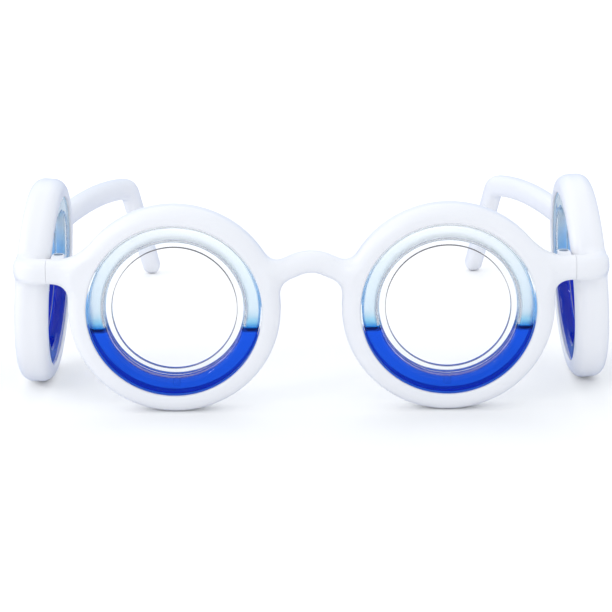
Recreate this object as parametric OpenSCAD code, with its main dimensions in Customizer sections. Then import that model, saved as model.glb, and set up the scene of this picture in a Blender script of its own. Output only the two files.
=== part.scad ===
// Motion sickness glasses: four white rings with clear tubes half full of blue liquid.
// Two rings sit in front of the eyes and one beside each temple. The temples fold at the corners.
// X runs across the face, Y from the front rings back to the ears, Z up from the table.
// Left and right are the wearer's: the left side is at +X.

/* [Rings] */
// Outside diameter of each white ring
ring_d = 50; // [46:0.5:54]
// Radial width of the white rim
rim_w = 4; // [3.5:0.1:5]
// Depth of the rim along the ring's axis
rim_depth = 8; // [7.5:0.25:10]
// Rounding of the rim's outer edges
rim_round = 3; // [1:0.25:3.5]
// Rounding of the rim's inner edges
rim_edge = 0.8; // [0.3:0.1:0.9]

/* [Layout] */
// Distance between the centres of the two front rings
eye_spacing = 64.4; // [60:0.2:68]
// Distance between the middle planes of the two side rings
side_spacing = 131.5; // [130:0.5:140]
// Distance from the front rings' middle plane back to the side rings' centres
side_back = 26; // [25.5:0.25:32]
// Angle by which the side rings lean in at the top
side_lean = 3.8; // [0:0.1:5]
// Angle by which the side rings turn in at the back
side_turn = 1.8; // [0:0.1:3]

/* [Bridge] */
// Thickness of the nose bridge
bridge_d = 5.2; // [4:0.1:6]
// Height of the bridge's peak, at mid thickness, above the ring centres
bridge_rise = 11.8; // [10:0.1:15]
// Angle above the horizontal at which the bridge meets the rings
bridge_angle = 18.5; // [12:0.5:24]
// Share of each limb of the bridge that bends at the peak
bridge_bend = 0.35; // [0.2:0.05:0.6]
// Extra thickness of the bridge all round where it flows into a ring
bridge_flare = 1.3; // [0:0.1:1.6]

/* [End pieces] */
// Height of the end pieces that carry the hinges
end_h = 5.6; // [5.4:0.1:7]
// Thickness of the end pieces from front to back
end_t = 6; // [5:0.1:7]
// Height of their centre line above the ring centres
end_rise = 9.1; // [7:0.1:11]
// Extra height of an end piece, above and below, where it flows into a front ring
end_flare = 1.2; // [0:0.1:1.6]
// Length over which an end piece flows into a front ring
end_flow = 5; // [3:0.5:7]
// Distance of the joint outside the side ring's inner face
joint_outset = 0.3; // [0.2:0.05:0.6]
// Gap of the joint between the front and a temple
joint_gap = 0.15; // [0.1:0.05:0.3]
// How far the temple's corner stands proud of the side ring's outer face
corner_proud = 0.3; // [0.2:0.1:1]
// Radius of the corner's outside, seen from above
corner_r = 6.2; // [6.1:0.1:7]
// How far the corner runs back over the side ring, from the ring's front edge
corner_run = 2.7; // [1.5:0.1:2.9]
// How much thinner and lower the corner ends
corner_taper = 1; // [0.2:0.1:1.4]

/* [Hinges] */
// Diameter of the hinge knuckles
knuckle_d = 3; // [2.6:0.1:3.2]
// Height of the whole hinge
hinge_h = 5; // [4.6:0.1:5.4]
// Height of the temple's middle knuckle
middle_knuckle_h = 1.7; // [1.4:0.1:2]
// Thickness of the tongue that carries the middle knuckle
tongue_t = 1.8; // [1.4:0.1:2.2]
// Gap between one knuckle and the next
knuckle_gap = 0.15; // [0.1:0.05:0.25]
// Distance from the side ring's inner face in to the hinge axis
hinge_inset = 1.8; // [1.8:0.1:2.4]
// Distance from the back of an end piece to the hinge axis
hinge_set_back = 3.2; // [2.6:0.1:3.4]
// Diameter of the hinge screw's shank
screw_d = 1.2; // [1:0.05:1.3]
// Radial clearance of the shank in the turning knuckles
screw_clearance = 0.05; // [0.02:0.01:0.08]
// Diameter of the hinge screw's head
screw_head_d = 2.2; // [2:0.05:2.4]
// Height of the hinge screw's head
screw_head_h = 0.6; // [0.5:0.05:0.8]
// Width of the slot in the head
slot_w = 0.4; // [0.3:0.05:0.5]
// Depth of the slot in the head
slot_depth = 0.3; // [0.2:0.05:0.4]

/* [Temples] */
// Width of the bar across the face
bar_w = 4.8; // [4:0.1:5.4]
// Height of the bar
bar_h = 5.8; // [5:0.1:6.4]
// Height of the bar's start above the ring centres
bar_rise = 9.2; // [7:0.1:11]
// Distance of the bar's root inside the side ring's middle plane
bar_inset = 0; // [0:0.1:1.4]
// Distance from the front rings' middle plane to the control point of the bar's gentle arch
arch_back = 77; // [70:0.5:82]
// Distance between the control points of the two arches
arch_spacing = 116; // [110:0.5:122]
// Height of the arch's control point above the table
arch_z = 35.2; // [33:0.1:38]
// Distance from the front rings' middle plane to the elbow
elbow_back = 98; // [90:0.5:106]
// Distance between the two elbows
elbow_spacing = 100.6; // [96:0.2:106]
// Height of the elbow above the table
elbow_z = 31; // [26:0.2:34]
// Length of the elbow's bend on each side
elbow_turn = 4; // [3:0.5:8]
// Distance from the front rings' middle plane to the centre of the ear tips
tip_back = 123.5; // [118:0.5:124]
// Distance between the centres of the two ear tips
tip_spacing = 93; // [90:0.5:98]
// Diameter of the ear tips
tip_d = 4.8; // [4:0.1:5.2]

/* [Clear tubes] */
// Radial width of the hollow tube, outside
tube_w = 4.4; // [4:0.1:5]
// Depth of the tube along the ring's axis, outside
tube_depth = 6.8; // [6:0.1:7.2]
// Wall of the tube
tube_wall = 0.6; // [0.4:0.05:0.8]
// Rounding of the tube's outside edges
tube_round = 1.1; // [1:0.1:1.9]
// Width of the weld flange inside the tube
flange_w = 1.8; // [1:0.1:2.5]
// Thickness of each half's weld flange
flange_t = 0.6; // [0.4:0.05:0.8]
// How far the outer flange reaches into the rim's groove
snap_reach = 0.5; // [0.3:0.05:0.7]
// Clearance of the tube in the rim and of the flange in its groove
tube_clearance = 0.1; // [0.05:0.01:0.15]
// Diameter of the filling port
port_d = 1.4; // [1:0.1:1.6]
// Diameter of the plug's head
plug_head_d = 2.2; // [2:0.1:2.6]
// Height of the plug's head
plug_head_h = 0.35; // [0.2:0.05:0.5]

/* [Liquid] */
// Depth of the liquid's surface below the ring centres
liquid_drop = 5.4; // [3:0.1:8]
// Film between the liquid's solid and the tube's wall
liquid_film = 0.05; // [0.02:0.01:0.1]

/* [Hidden] */
$fn = 64;

// Overlap of shapes that are one moulding
weld = 0.5;
// Clearance of a part that is pressed or screwed in
tight_clearance = 0.02;

ring_r = ring_d / 2;
bore_r = ring_r - rim_w;
eye_x = eye_spacing / 2;
side_x = side_spacing / 2;
tip_r = tip_d / 2;

// The frame's origin is in the middle of the footprint, so the front rings lie at negative Y
front_y = -(tip_back + tip_r - rim_depth / 2) / 2;
side_y = front_y + side_back;
end_z = ring_r + end_rise;

// The leaning side ring rests on its outer edge; its axis points out and a little up
side_z = rim_round + (ring_r - rim_round) * cos(side_lean) + (rim_depth / 2 - rim_round) * sin(side_lean);
side_axis = [cos(side_turn) * cos(side_lean), sin(side_turn) * cos(side_lean), sin(side_lean)];

// Front and back of the side ring's rim at the hinge's height
rim_front_y = side_y - sqrt(ring_r * ring_r - end_rise * end_rise);
rim_back_y = side_y - sqrt(bore_r * bore_r - end_rise * end_rise);

knuckle_r = knuckle_d / 2;
hinge_low = end_z - hinge_h / 2;
hinge_top = end_z + hinge_h / 2;
hinge_y = front_y + end_t / 2 + hinge_set_back;

// The side ring's faces where they come nearest to the hinge and to the temple's corner
side_inner_x = side_plane_x(-rim_depth / 2, hinge_y, hinge_top);
side_outer_x = side_plane_x(rim_depth / 2, rim_front_y, end_z);
joint_x = side_inner_x + joint_outset;
hinge_x = side_inner_x - hinge_inset;
outer_knuckle_h = (hinge_h - middle_knuckle_h) / 2 - knuckle_gap;

tube_out_r = bore_r - tube_clearance;
tube_mid_r = tube_out_r - tube_w / 2;
tube_in_r = tube_out_r - tube_w;
flange_in_r = tube_in_r - flange_w;
flange_out_r = bore_r + snap_reach;

// Sides of a swept section, and how square the section is: 1 is an ellipse, less is squarer
SECTION_SIDES = 24;
SECTION_POWER = 0.72;
// Sections along each stretch of a path
STEPS = 8;

function unit(v) = v / norm(v);
function mix(a, b, t) = a + (b - a) * t;
function curve(a, b, c, t) = mix(mix(a, b, t), mix(b, c, t), t);
function rounded_wave(v) = sign(v) * pow(abs(v), SECTION_POWER);

// X of the plane across the side ring's axis that lies the distance out from the ring's centre
function side_plane_x(out, y, z) =
    side_x + (out - (y - side_y) * side_axis.y - (z - side_z) * side_axis.z) / side_axis.x;

// Direction of a path at its point i
function heading(path, i) =
    unit(path[min(i + 1, len(path) - 1)] - path[max(i - 1, 0)]);

// One closed section of a sweep: size is [width across the path, height]
function section(centre, along, size) =
    let (side = unit(cross(along, [0, 0, 1])), up = cross(side, along))
    [for (k = [0:SECTION_SIDES - 1])
        let (a = 360 * k / SECTION_SIDES)
        centre + side * rounded_wave(cos(a)) * size[0] / 2
            + up * rounded_wave(sin(a)) * size[1] / 2];

// A solid carried along a path, with its own size at every point and flat ends
module swept(path, sizes) {
    n = SECTION_SIDES;
    last = len(path) - 1;
    points = [for (i = [0:last]) each section(path[i], heading(path, i), sizes[i])];
    walls = [for (i = [0:last - 1], k = [0:n - 1])
        let (a = i * n + k, b = i * n + (k + 1) % n)
        each [[a, b + n, a + n], [a, b, b + n]]];
    start_cap = [[for (k = [n - 1:-1:0]) k]];
    end_cap = [[for (k = [0:n - 1]) last * n + k]];
    polyhedron(points, concat(walls, start_cap, end_cap));
}

// A rectangle with four round corners, centred
module rounded_slab(width, height, radius) {
    square([width, height - 2 * radius], center = true);
    square([width - 2 * radius, height], center = true);
    for (x = [-1, 1], y = [-1, 1])
        translate([x * (width / 2 - radius), y * (height / 2 - radius)]) circle(radius);
}

// The white rim round its own Z axis, with the groove that holds a tube's flange
module rim() {
    groove_half = flange_t + tube_clearance;
    span = 2 * rim_w;
    rotate_extrude() difference() {
        intersection() {
            translate([ring_r - span / 2, 0]) rounded_slab(span, rim_depth, rim_round);
            translate([bore_r + span / 2, 0]) rounded_slab(span, rim_depth, rim_edge);
        }
        translate([0, -groove_half]) square([flange_out_r + tube_clearance, 2 * groove_half]);
    }
}

// Places of the rings: local Y is up, local Z points to the front or to the wearer
module at_eye() { translate([eye_x, front_y, ring_r]) rotate([90, 0, 0]) children(); }
module at_side() {
    translate([side_x, side_y, side_z]) rotate([0, -side_lean, side_turn]) rotate([90, 0, -90]) children();
}
module at_hinge() { translate([hinge_x, hinge_y, 0]) children(); }
module right_hand() { mirror([1, 0, 0]) children(); }

// The arched bridge: its flare grows with the fifth power of the distance from the peak
module bridge() {
    seat_r = ring_r - rim_w / 2;
    seat = [eye_x - seat_r * cos(bridge_angle), front_y, ring_r + seat_r * sin(bridge_angle)];
    right_seat = [-seat.x, seat.y, seat.z];
    peak = [0, front_y, ring_r + bridge_rise];
    left_bend = mix(peak, seat, bridge_bend);
    right_bend = mix(peak, right_seat, bridge_bend);
    path = concat(
        [for (i = [0:STEPS - 1]) mix(right_seat, right_bend, i / STEPS)],
        [for (i = [0:STEPS]) curve(right_bend, peak, left_bend, i / STEPS)],
        [for (i = [1:STEPS]) mix(left_bend, seat, i / STEPS)]);
    sizes = [for (p = path)
        let (d = bridge_d + 2 * bridge_flare * pow(abs(p.x) / seat.x, 5)) [d, d]];
    swept(path, sizes);
}

// The end piece that carries a hinge, out to the joint with the temple
module end_piece() {
    start_x = eye_x + bore_r;
    path = [for (i = [0:STEPS]) [mix(start_x, joint_x, i / STEPS), front_y, end_z]];
    sizes = [for (p = path)
        let (grow = pow(max(0, 1 - (p.x - start_x) / end_flow), 2)) [end_t, end_h + 2 * end_flare * grow]];
    swept(path, sizes);
}

// A hinge knuckle without its bore
module knuckle(low, height) {
    translate([0, 0, low]) cylinder(r = knuckle_r, h = height);
}

// The front's two knuckles, each on a web that grows out of the end piece
module front_knuckles() {
    web_y = front_y + end_t / 2 - weld - hinge_y;
    for (low = [hinge_low, hinge_top - outer_knuckle_h]) {
        knuckle(low, outer_knuckle_h);
        translate([-knuckle_r, web_y, low]) cube([knuckle_d, -web_y, outer_knuckle_h]);
    }
}

// The room that the side ring takes, with the joint's gap round it
module side_ring_room() {
    span = 2 * rim_w;
    at_side() rotate_extrude() translate([ring_r + joint_gap - span / 2, 0])
        rounded_slab(span, rim_depth + 2 * joint_gap, rim_round + joint_gap);
}

module front_side() {
    at_eye() rim();
    difference() {
        union() {
            difference() {
                end_piece();
                side_ring_room();
            }
            at_hinge() front_knuckles();
        }
        at_hinge() {
            translate([0, 0, hinge_low + outer_knuckle_h])
                cylinder(r = screw_d / 2 + screw_clearance, h = hinge_h);
            translate([0, 0, hinge_low - 1])
                cylinder(r = screw_d / 2 + tight_clearance, h = outer_knuckle_h + 2);
            translate([0, 0, hinge_top - screw_head_h])
                cylinder(r = screw_head_d / 2 + tight_clearance, h = screw_head_h + 1);
        }
    }
}

module front_frame() {
    color("white") {
        front_side();
        right_hand() front_side();
        bridge();
    }
}

// The corner of a temple, from the joint round to the outer face of the side ring
module temple_corner() {
    out_x = side_outer_x + corner_proud - end_t / 2;
    turn_r = corner_r - end_t / 2;
    turn_x = out_x - turn_r;
    path = concat(
        [[joint_x + joint_gap, front_y, end_z]],
        [for (i = [0:STEPS])
            let (a = 90 * i / STEPS)
            [turn_x + turn_r * sin(a), front_y + turn_r * (1 - cos(a)), end_z]],
        [[out_x - corner_proud, rim_front_y + corner_run, end_z]]);
    full = [end_t, end_h];
    tapered = [end_t - corner_taper, end_h - corner_taper];
    swept(path, [for (i = [0:STEPS + 2]) i < STEPS + 2 ? full : tapered]);
}

// The bar and its ear hook: a gentle arch back to the elbow, then straight down to a round tip
module temple_bar() {
    root_r = ring_r - rim_w / 2;
    root_y = side_y + sqrt(root_r * root_r - bar_rise * bar_rise);
    root_z = ring_r + bar_rise;
    root = [side_plane_x(0, root_y, root_z) - bar_inset, root_y, root_z];
    arch = [arch_spacing / 2, front_y + arch_back, arch_z];
    elbow = [elbow_spacing / 2, front_y + elbow_back, elbow_z];
    tip = [tip_spacing / 2, front_y + tip_back, tip_r];
    down = unit(tip - elbow);
    turn_start = elbow + unit(arch - elbow) * elbow_turn;
    turn_end = elbow + down * elbow_turn;
    tip_angles = [14:14:84];
    path = concat(
        [for (i = [0:STEPS]) curve(root, arch, turn_start, i / STEPS)],
        [for (i = [1:STEPS]) curve(turn_start, elbow, turn_end, i / STEPS)],
        [for (i = [1:STEPS]) mix(turn_end, tip, i / STEPS)],
        [for (a = tip_angles) tip + down * tip_r * sin(a)]);
    sizes = concat(
        [for (i = [0:2 * STEPS]) [bar_w, bar_h]],
        [for (i = [1:STEPS]) mix([bar_w, bar_h], [tip_d, tip_d], i / STEPS)],
        [for (a = tip_angles) [tip_d, tip_d] * cos(a)]);
    swept(path, sizes);
}

// The temple's middle knuckle, on a tongue that ends in the side ring's rim
module temple_knuckle() {
    low = end_z - middle_knuckle_h / 2;
    root_x = side_inner_x + 2 * weld;
    root_y = max(rim_front_y + tongue_t / 2, min(hinge_y, rim_back_y - tongue_t / 2));
    run = [root_x - hinge_x, root_y - hinge_y];
    difference() {
        at_hinge() {
            knuckle(low, middle_knuckle_h);
            rotate([0, 0, atan2(run.y, run.x)]) translate([0, -tongue_t / 2, low])
                cube([norm(run), tongue_t, middle_knuckle_h]);
        }
        at_hinge() translate([0, 0, low - 1])
            cylinder(r = screw_d / 2 + screw_clearance, h = middle_knuckle_h + 2);
    }
}

module temple() {
    at_side() rim();
    temple_corner();
    temple_bar();
    temple_knuckle();
}

module left_temple() { color("white") temple(); }
module right_temple() { color("white") right_hand() temple(); }

// A slotted screw: the shank turns in two knuckles and is screwed into the lowest
module hinge_screw() {
    head_low = hinge_top - screw_head_h;
    difference() {
        union() {
            translate([0, 0, hinge_low]) cylinder(r = screw_d / 2, h = hinge_h - screw_head_h / 2);
            translate([0, 0, head_low]) cylinder(r = screw_head_d / 2, h = screw_head_h);
        }
        translate([-screw_head_d, -slot_w / 2, hinge_top - slot_depth])
            cube([2 * screw_head_d, slot_w, slot_depth + 1]);
    }
}

module hinge_screws() {
    color("silver") {
        at_hinge() hinge_screw();
        right_hand() at_hinge() hinge_screw();
    }
}

// Sections of the tube in the plane of radius and ring axis
module tube_outside() {
    translate([tube_mid_r, 0]) rounded_slab(tube_w, tube_depth, tube_round);
}

module tube_inside(film) {
    shrink = 2 * (tube_wall + film);
    translate([tube_mid_r, 0]) rounded_slab(tube_w - shrink, tube_depth - shrink, tube_round - shrink / 2);
}

// The half of a clear tube on the positive side of the ring's middle plane
module tube_half() {
    color("lightcyan", 0.5) rotate_extrude() difference() {
        union() {
            intersection() {
                tube_outside();
                square([ring_r, tube_depth]);
            }
            translate([flange_in_r, 0]) square([flange_out_r - flange_in_r, flange_t]);
        }
        tube_inside(0);
    }
}

// The other half, with the filling port low on its face
module tube_half_with_port() {
    color("lightcyan", 0.5) difference() {
        mirror([0, 0, 1]) tube_half();
        translate([0, -tube_mid_r, -tube_depth]) cylinder(r = port_d / 2, h = tube_depth - 1);
    }
}

module plug() {
    face = -tube_depth / 2;
    color("azure") translate([0, -tube_mid_r, 0]) {
        translate([0, 0, face]) cylinder(r = port_d / 2 - tight_clearance, h = tube_wall);
        translate([0, 0, face - plug_head_h]) cylinder(r = plug_head_d / 2, h = plug_head_h);
    }
}

// The blue liquid up to its surface, which stays level in a ring that leans
module liquid(lean) {
    color("mediumblue") intersection() {
        rotate_extrude() tube_inside(liquid_film);
        rotate([-lean, 0, 0]) translate([-ring_r, -ring_d - liquid_drop, -rim_depth])
            cube([ring_d, ring_d, 2 * rim_depth]);
    }
}

front_frame();
right_temple();
left_temple();
hinge_screws();
right_hand() at_eye() tube_half();  // right_eye_tube_front
right_hand() at_eye() tube_half_with_port();  // right_eye_tube_back
right_hand() at_eye() liquid(0);  // right_eye_liquid
right_hand() at_eye() plug();  // right_eye_plug
at_eye() tube_half();  // left_eye_tube_front
at_eye() tube_half_with_port();  // left_eye_tube_back
at_eye() liquid(0);  // left_eye_liquid
at_eye() plug();  // left_eye_plug
right_hand() at_side() tube_half();  // right_side_tube_inner
right_hand() at_side() tube_half_with_port();  // right_side_tube_outer
right_hand() at_side() liquid(side_lean);  // right_side_liquid
right_hand() at_side() plug();  // right_side_plug
at_side() tube_half();  // left_side_tube_inner
at_side() tube_half_with_port();  // left_side_tube_outer
at_side() liquid(side_lean);  // left_side_liquid
at_side() plug();  // left_side_plug
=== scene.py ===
import math

import bpy
import numpy as np
from mathutils import Matrix, Vector


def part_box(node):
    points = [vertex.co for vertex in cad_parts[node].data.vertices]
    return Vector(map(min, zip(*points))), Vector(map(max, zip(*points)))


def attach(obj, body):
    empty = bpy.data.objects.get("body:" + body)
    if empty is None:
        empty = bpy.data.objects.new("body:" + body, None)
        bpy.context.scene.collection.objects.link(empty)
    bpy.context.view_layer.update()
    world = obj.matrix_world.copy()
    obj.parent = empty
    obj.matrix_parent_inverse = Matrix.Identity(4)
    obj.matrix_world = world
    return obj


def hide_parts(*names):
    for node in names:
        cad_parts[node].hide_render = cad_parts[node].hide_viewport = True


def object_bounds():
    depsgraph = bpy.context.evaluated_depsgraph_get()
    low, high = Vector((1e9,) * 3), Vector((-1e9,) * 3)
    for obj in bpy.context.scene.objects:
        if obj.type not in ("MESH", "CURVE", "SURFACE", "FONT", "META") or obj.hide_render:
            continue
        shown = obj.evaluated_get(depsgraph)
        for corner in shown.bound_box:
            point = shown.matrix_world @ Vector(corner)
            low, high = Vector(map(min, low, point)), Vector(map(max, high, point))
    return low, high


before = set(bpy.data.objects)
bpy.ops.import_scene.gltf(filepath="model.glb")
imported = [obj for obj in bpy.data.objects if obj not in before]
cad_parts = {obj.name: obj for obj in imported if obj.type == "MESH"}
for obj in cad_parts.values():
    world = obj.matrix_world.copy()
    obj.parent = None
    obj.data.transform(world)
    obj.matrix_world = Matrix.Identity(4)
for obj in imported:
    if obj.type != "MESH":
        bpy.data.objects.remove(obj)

# Motion sickness glasses: white rings with clear tubes half full of blue liquid.
# X runs across the face, Y from the front rings back to the ears, Z up from the table.
# Shapes are worked out in millimetres, and a mesh gets them in metres.

CAD_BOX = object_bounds()
MM = 0.001
UP = np.array([0.0, 0.0, 1.0])

# Rings, in millimetres
RING_R = 25.0
RIM_W = 4.0
RIM_DEPTH = 8.0
RIM_ROUND = 3.0
RIM_EDGE = 0.5
RIM_LIP = 0.35
BORE_R = RING_R - RIM_W
SIDE_LEAN = math.radians(3.8)
SIDE_TURN = math.radians(1.8)

# Bridge and end pieces
BRIDGE_D = 5.2
BRIDGE_RISE = 11.8
BRIDGE_ANGLE = math.radians(18.5)
BRIDGE_BEND = 0.35
END_H = 5.6
END_T = 6.0
END_RISE = 9.1
JOINT_OUTSET = 0.3
JOINT_GAP = 0.15
JOINT_PROUD = 0.05
CORNER_PROUD = 0.3
CORNER_R = 6.2
CORNER_RUN = 2.7
CORNER_TAPER = 1.0

# Hinges
KNUCKLE_R = 1.5
HINGE_H = 5.0
MIDDLE_KNUCKLE_H = 1.7
KNUCKLE_GAP = 0.15
WEB_SEAT = 0.5
TONGUE_T = 1.8
TONGUE_SEAT = 1.0
HINGE_INSET = 1.8
HINGE_SET_BACK = 3.2
SHANK_BORE_R = 0.65
HEAD_BORE_R = 1.12
HEAD_H = 0.6

# Temple bars and ear hooks
BAR_W = 4.8
BAR_H = 5.8
BAR_RISE = 9.2
ARCH_BACK = 77.0
ARCH_SPACING = 116.0
ARCH_Z = 35.2
ELBOW_BACK = 98.0
ELBOW_SPACING = 100.6
ELBOW_Z = 31.0
ELBOW_TURN = 4.0
TIP_BACK = 123.5
TIP_SPACING = 93.0
TIP_D = 4.8

# Clear tubes and liquid
TUBE_W = 4.4
TUBE_DEPTH = 6.8
TUBE_WALL = 0.6
TUBE_ROUND = 1.1
SEATED_ROUND = 0.3
SEATED_FRONT = 0.05
SEATED_BACK = 0.4
FLANGE_W = 1.8
FLANGE_T = 0.6
SNAP_REACH = 0.5
TUBE_CLEARANCE = 0.1
FLANGE_LIP = 0.22
FLANGE_LIP_T = 0.12
FLANGE_ROOT = 0.2
FLANGE_EDGE = 0.15
SNAP_EDGE = 0.1
LIQUID_DROP = 5.4
MENISCUS = 1.4
WETTED = 0.02
PLUG_HEAD_R = 1.1
PLUG_HEAD_H = 0.35
PLUG_EDGE_R = 0.2
PLUG_SINK = 0.05
PLUG_TOP_R = [0.75, 0.5, 0.25]
PLUG_TOP_DIP = [0.02, 0.04, 0.05]

# The tube's outer, middle and inner radius
TUBE_OUT_R = BORE_R - TUBE_CLEARANCE
TUBE_MID_R = TUBE_OUT_R - TUBE_W / 2
TUBE_IN_R = TUBE_OUT_R - TUBE_W

# How square a section is: 1 is an ellipse, and less is squarer
BRIDGE_POWER = 0.9
BAR_POWER = 0.8
END_POWER = 0.72

# How wide one form flows into the next, how far outside the bore that starts on a rim, and how
# often and how far a point moves
BRIDGE_FLOW = 3.4
END_FLOW = 5.0
CORNER_FLOW = 2.0
BAR_FLOW = 2.6
FLOW_START = 0.7
FLOW_BLEND = 0.3
FLOW_PASSES = 14
FLOW_LIMIT = 0.45

# Fine edges and gaps of the white mouldings
EDGE = 0.2
JOINT_EDGE = 0.07
KNUCKLE_BEVEL = 0.15
FINE_GAP = 0.04
SHARP_ANGLE = math.radians(40)

# Steps along paths and sections, and counts of places round a turn
STEP = 0.35
RIM_STEP = 0.3
TUBE_STEP = 0.15
LIQUID_STEP = 0.2
RIM_TURNS = 400
TUBE_TURNS = 320
DRY_TURNS = 200
WET_TURNS = 140
KNUCKLE_TURNS = 72
PLUG_TURNS = 40
DISH_LOOPS = 14
DISH_MIDDLE = 0.08
CORNER_PLACES = 20
TIP_TURN = np.radians(np.arange(6, 88, 6))
EDGE_TURN = np.radians([30, 60, 90])
PLUG_EDGE_TURN = np.radians(np.linspace(0, 84, 8))

# Materials: the depth of the skin's bump, how strongly things bend light, how strongly the liquid
# takes it up, how far up the walls' colours run, and how far in front of the front rings' middle
# the liquid's painted shade line begins
SKIN_DEPTH = 0.02
WHITE_IOR = 1.5
PLASTIC_IOR = 1.49
LIQUID_IOR = 1.34
PLUG_IOR = 1.1
LIQUID_SKIN_IOR = 1.01
LIQUID_DENSITY = 60
RAMP_H = 26
PAINTED_SHADE_LINE_AHEAD = 1.2

# Floor, in metres: half its width, and how its glow for the camera grows away from the object
FLOOR_REACH = 3.0
FLOOR_GLOW = {"From Min": 0.08, "From Max": 0.3, "To Min": 0.04, "To Max": 0.6}

# Camera, fitted to the rings' outlines in the photograph: millimetres, degrees and pixels
CAMERA_X = 1.912
CAMERA_AHEAD = 527.764
CAMERA_Z = 177.301
CAMERA_TILT = 16.078
CAMERA_PAN = -0.343
CAMERA_ROLL = -0.586
FOCAL_PX = 2333.03
PHOTO_PX = 612


def node_box(*nodes):
    """Lowest and highest corner of some CAD nodes, in millimetres."""
    boxes = [np.array(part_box(node)) / MM for node in nodes]
    return np.min([b[0] for b in boxes], 0), np.max([b[1] for b in boxes], 0)


class Ring:
    """The place of one ring: its centre, the axis that points to its first half, and its own side
    and up."""

    def __init__(self, first_half, second_half, axis):
        low, high = node_box(first_half, second_half)
        self.centre = (low + high) / 2
        self.axis = np.array(axis, float)
        self.side = unit(np.cross(UP, self.axis))
        self.up = np.cross(self.axis, self.side)

    def at(self, radius, turn, along):
        """Points at a radius, at an angle from the ring's lowest place, and at a place along the
        axis."""
        radius, turn, along = (np.asarray(v, float)[..., None] for v in (radius, turn, along))
        out = np.sin(turn) * self.side - np.cos(turn) * self.up
        return self.centre + radius * out + along * self.axis

    def level_turn(self, radius, along, rise=0.0):
        """The angle from the lowest place at which a circle round the axis meets the liquid's
        level."""
        drop = LIQUID_DROP - rise + along * self.axis[2]
        return np.arccos(np.clip(drop / (radius * self.up[2]), -1, 1))

    def distance(self, points):
        """Distance to the ring taken as a solid disc with a round rim."""
        offset = points - self.centre
        along = offset @ self.axis
        radius = np.sqrt(np.maximum((offset ** 2).sum(-1) - along ** 2, 0))
        past = np.stack([radius - RING_R, np.abs(along) - RIM_DEPTH / 2], -1) + RIM_ROUND
        outside = np.sqrt((np.maximum(past, 0) ** 2).sum(-1))
        return outside + np.minimum(past.max(-1), 0) - RIM_ROUND


def unit(v):
    """The vectors at a length of 1."""
    return v / np.linalg.norm(v, axis=-1, keepdims=True)


def mirror(points):
    """The same points on the wearer's other side."""
    return points * np.array([-1.0, 1.0, 1.0])


def line(a, b, step):
    """Points from a towards b, a step apart, without b."""
    count = max(int(np.linalg.norm(b - a) / step), 2)
    t = np.linspace(0, 1, count, endpoint=False)[:, None]
    return a + (b - a) * t


def curve(a, b, c, step):
    """Points on the quadratic curve from a to c that b pulls on, without c."""
    count = max(int((np.linalg.norm(b - a) + np.linalg.norm(c - b)) / step), 4)
    t = np.linspace(0, 1, count, endpoint=False)[:, None]
    return (a * (1 - t) + b * t) * (1 - t) + (b * (1 - t) + c * t) * t


def outline(corners, radii, step):
    """A closed outline: straight sides between corners, each rounded by an arc that touches both
    sides."""
    corners = np.array(corners, float)
    before = unit(np.roll(corners, 1, 0) - corners)
    after = unit(np.roll(corners, -1, 0) - corners)
    half = np.arccos(np.clip((before * after).sum(1), -1, 1)) / 2
    cut = np.array(radii, float) / np.tan(half)
    first = corners + before * cut[:, None]
    last = corners + after * cut[:, None]
    parts = []
    for i, corner in enumerate(corners):
        following = first[(i + 1) % len(corners)]
        if radii[i] > 0:
            sweep = math.pi - 2 * half[i]
            centre = corner + unit(before[i] + after[i]) * radii[i] / math.sin(half[i])
            start, stop = first[i] - centre, last[i] - centre
            count = max(int(radii[i] * sweep / step), 4)
            t = np.linspace(0, sweep, count, endpoint=False)[:, None]
            arc = (start * np.sin(sweep - t) + stop * np.sin(t)) / math.sin(sweep)
            parts.append(centre + arc)
        if np.linalg.norm(following - last[i]) > 1e-6:
            parts.append(line(last[i], following, step))
    return np.concatenate(parts)


def loft(rows):
    """Quads between neighbouring rows of a grid whose rows are closed loops."""
    count, columns = rows.shape[:2]
    r = np.arange(count - 1)[:, None] * columns
    c = np.arange(columns)[None]
    right = (c + 1) % columns
    quads = np.stack([r + c, r + right, r + right + columns, r + c + columns], -1)
    return rows.reshape(-1, 3), [quads.reshape(-1, 4)]


def closed_ring(rows):
    """A grid that closes both ways, as on a torus."""
    points, (quads,) = loft(np.concatenate([rows, rows[:1]]))
    count = rows.shape[0] * rows.shape[1]
    return points[:count], [quads % count]


def closed_tube(rows):
    """A lofted tube whose two ends close in a point, at the middle of their loops."""
    points, (quads,) = loft(rows)
    count, columns = rows.shape[:2]
    poles = [rows[0].mean(0), rows[-1].mean(0)]
    c = np.arange(columns)
    right = (c + 1) % columns
    start = len(points) * np.ones(columns, int)
    last = (count - 1) * columns
    fans = [np.stack([start, right, c], -1), np.stack([start + 1, last + c, last + right], -1)]
    return np.concatenate([points, poles]), [quads, *fans]


def facing(surface, inward=False):
    """The surface with its faces turned out, or in round a hollow, by the sign of its volume."""
    points, faces = surface
    halves = [np.concatenate([f[:, :3], f[:, [0, 2, -1]]]) if f.shape[1] == 4 else f for f in faces]
    triangles = np.concatenate(halves)
    a, b, c = (points[triangles[:, i]] for i in range(3))
    volume = (a * np.cross(b, c)).sum()
    if (volume < 0) != inward:
        faces = [f[:, ::-1] for f in faces]
    return points, faces


def grid_normals(rows, wraps):
    """Unit normals of a grid of closed loops, pointing away from the middle of each loop."""
    around = np.roll(rows, -1, 1) - np.roll(rows, 1, 1)
    along = np.roll(rows, -1, 0) - np.roll(rows, 1, 0) if wraps else np.gradient(rows, axis=0)
    normals = unit(np.cross(along, around) + 1e-12)
    outward = ((rows - rows.mean(1, keepdims=True)) * normals).sum(-1).mean()
    return normals * np.sign(outward)


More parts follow.
